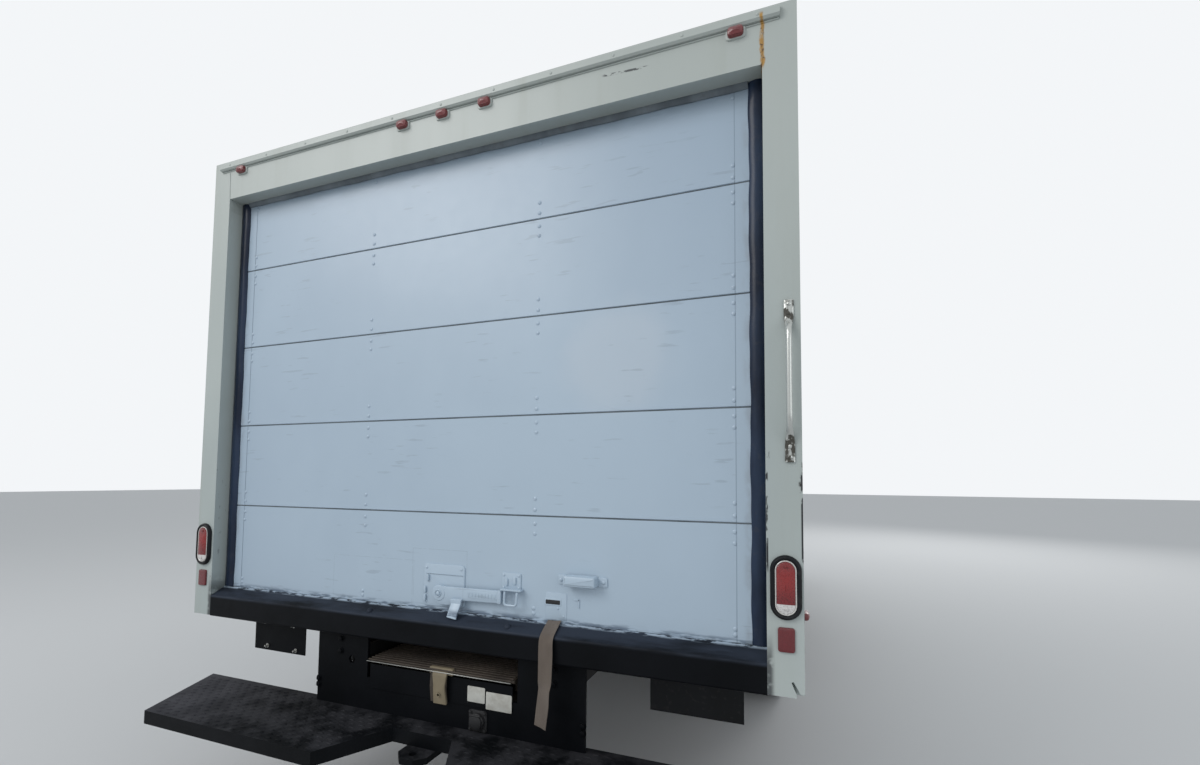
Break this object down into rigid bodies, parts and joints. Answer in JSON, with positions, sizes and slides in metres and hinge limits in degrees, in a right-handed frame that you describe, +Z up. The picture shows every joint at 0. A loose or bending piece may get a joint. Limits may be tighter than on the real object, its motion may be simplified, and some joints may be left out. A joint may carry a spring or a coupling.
{
  "type": "box truck",
  "caption": "Box truck with a sheet-sided van body, roll-up rear door, slide-out loading ramp and notched step bumper on a two-axle cutaway-cab chassis with twin rear wheels.",
  "frame": {"origin": "middle of the footprint, on the ground under the tyres", "axes": "+X to the truck's right, +Y forward, +Z up"},
  "size_m": [2.68, 7.475, 2.947],
  "materials": {
    "body_paint": "satin white paint",
    "door_paint": "pale cool white, pre-painted door skin",
    "cab_paint": "gloss white paint",
    "black_steel": "satin black paint, worn",
    "frame_steel": "dusty black chassis paint",
    "cast_parts": "rough cast iron",
    "bare_steel": "worn zinc plate",
    "aluminium": "worn mill finish",
    "wheel_paint": "painted steel wheel",
    "tyre": "tyre rubber",
    "rubber": "dark rubber",
    "glass": "clear safety glass",
    "lens_red": "red lamp lens",
    "lens_clear": "clear lamp",
    "dark_plastic": "grained plastic",
    "interior": "grey interior plastic",
    "seat_cloth": "woven seat cloth",
    "webbing": "faded webbing",
    "deck_wood": "hardwood floor boards"
  },
  "bodies": {
    "truck": {"chassis_frame": "frame_steel", "engine_block": "cast_parts", "rear_axle": "cast_parts", "rear_springs": "frame_steel", "front_axle": "cast_parts", "fuel_tank": "black_steel", "exhaust": "bare_steel", "cab_shell": "cab_paint", "windscreen": "glass", "grille": "dark_plastic", "headlamps": "lens_clear", "front_bumper": "black_steel", "dashboard": "interior", "seats": "seat_cloth", "box_floor": "deck_wood", "crossmembers": "frame_steel", "box_side_right": "body_paint", "box_side_left": "body_paint", "box_front_wall": "body_paint", "box_roof": "body_paint", "rear_frame": "body_paint", "rear_sill": "black_steel", "roll_door": "door_paint", "door_seals": "rubber", "door_latch": "bare_steel", "latch_keeper": "bare_steel", "lift_handle": "bare_steel", "lamp_rings": "rubber", "lamp_lenses": "lens_red", "grab_handle": "bare_steel", "step_bumper": "black_steel", "plate_bracket": "black_steel", "mud_flaps": "rubber", "pull_strap": "webbing"},
    "hood_lid": {"hood": "cab_paint"},
    "steering_wheel": {"steering_wheel": "dark_plastic"},
    "ramp": {"ramp": "aluminium"},
    "cab_door_right": {"cab_door_right": "cab_paint", "door_glass_right": "glass", "mirror_right": "dark_plastic"},
    "knuckle_right": {"knuckle_right": "cast_parts"},
    "front_wheel_right": {"front_tyre_right": "tyre", "front_rim_right": "wheel_paint"},
    "rear_wheels_right": {"rear_tyres_right": "tyre", "rear_rims_right": "wheel_paint"},
    "cab_door_left": {"cab_door_left": "cab_paint", "door_glass_left": "glass", "mirror_left": "dark_plastic"},
    "knuckle_left": {"knuckle_left": "cast_parts"},
    "front_wheel_left": {"front_tyre_left": "tyre", "front_rim_left": "wheel_paint"},
    "rear_wheels_left": {"rear_tyres_left": "tyre", "rear_rims_left": "wheel_paint"}
  },
  "joints": [
    {"name": "steer_left", "type": "hinge", "parent": "truck", "child": "knuckle_left", "pos_m": [-0.79, 2.9355, 0.372], "axis": [0, 0, 1], "range_deg": [-35, 35]},
    {"name": "front_wheel_left", "type": "hinge", "parent": "knuckle_left", "child": "front_wheel_left", "pos_m": [-0.875, 2.9355, 0.372], "axis": [1, 0, 0], "continuous": true},
    {"name": "rear_wheels_left", "type": "hinge", "parent": "truck", "child": "rear_wheels_left", "pos_m": [-0.945, -1.0775, 0.372], "axis": [1, 0, 0], "continuous": true},
    {"name": "cab_door_left", "type": "hinge", "parent": "truck", "child": "cab_door_left", "pos_m": [-1.012, 2.6735, 0.9], "axis": [0, 0, -1], "range_deg": [0, 65]},
    {"name": "steer_right", "type": "hinge", "parent": "truck", "child": "knuckle_right", "pos_m": [0.79, 2.9355, 0.372], "axis": [0, 0, 1], "range_deg": [-35, 35]},
    {"name": "front_wheel_right", "type": "hinge", "parent": "knuckle_right", "child": "front_wheel_right", "pos_m": [0.875, 2.9355, 0.372], "axis": [1, 0, 0], "continuous": true},
    {"name": "rear_wheels_right", "type": "hinge", "parent": "truck", "child": "rear_wheels_right", "pos_m": [0.945, -1.0775, 0.372], "axis": [1, 0, 0], "continuous": true},
    {"name": "cab_door_right", "type": "hinge", "parent": "truck", "child": "cab_door_right", "pos_m": [1.012, 2.6735, 0.9], "axis": [0, 0, 1], "range_deg": [0, 65]},
    {"name": "hood", "type": "hinge", "parent": "truck", "child": "hood_lid", "pos_m": [0, 3.1725, 1.379], "axis": [1, 0, 0], "range_deg": [0, 55]},
    {"name": "steering_wheel", "type": "hinge", "parent": "truck", "child": "steering_wheel", "pos_m": [-0.42, 2.4825, 1.222], "axis": [0, -0.901, 0.4338], "range_deg": [-570, 570]},
    {"name": "ramp_slide", "type": "slide", "parent": "truck", "child": "ramp", "axis": [0, -1, 0], "range_m": [0, 2.9]}
  ],
  "couplings": [
    {"joint": "steer_right", "follows": "steer_left", "ratio": 1},
    {"joint": "steering_wheel", "follows": "steer_left", "ratio": 16}
  ]
}
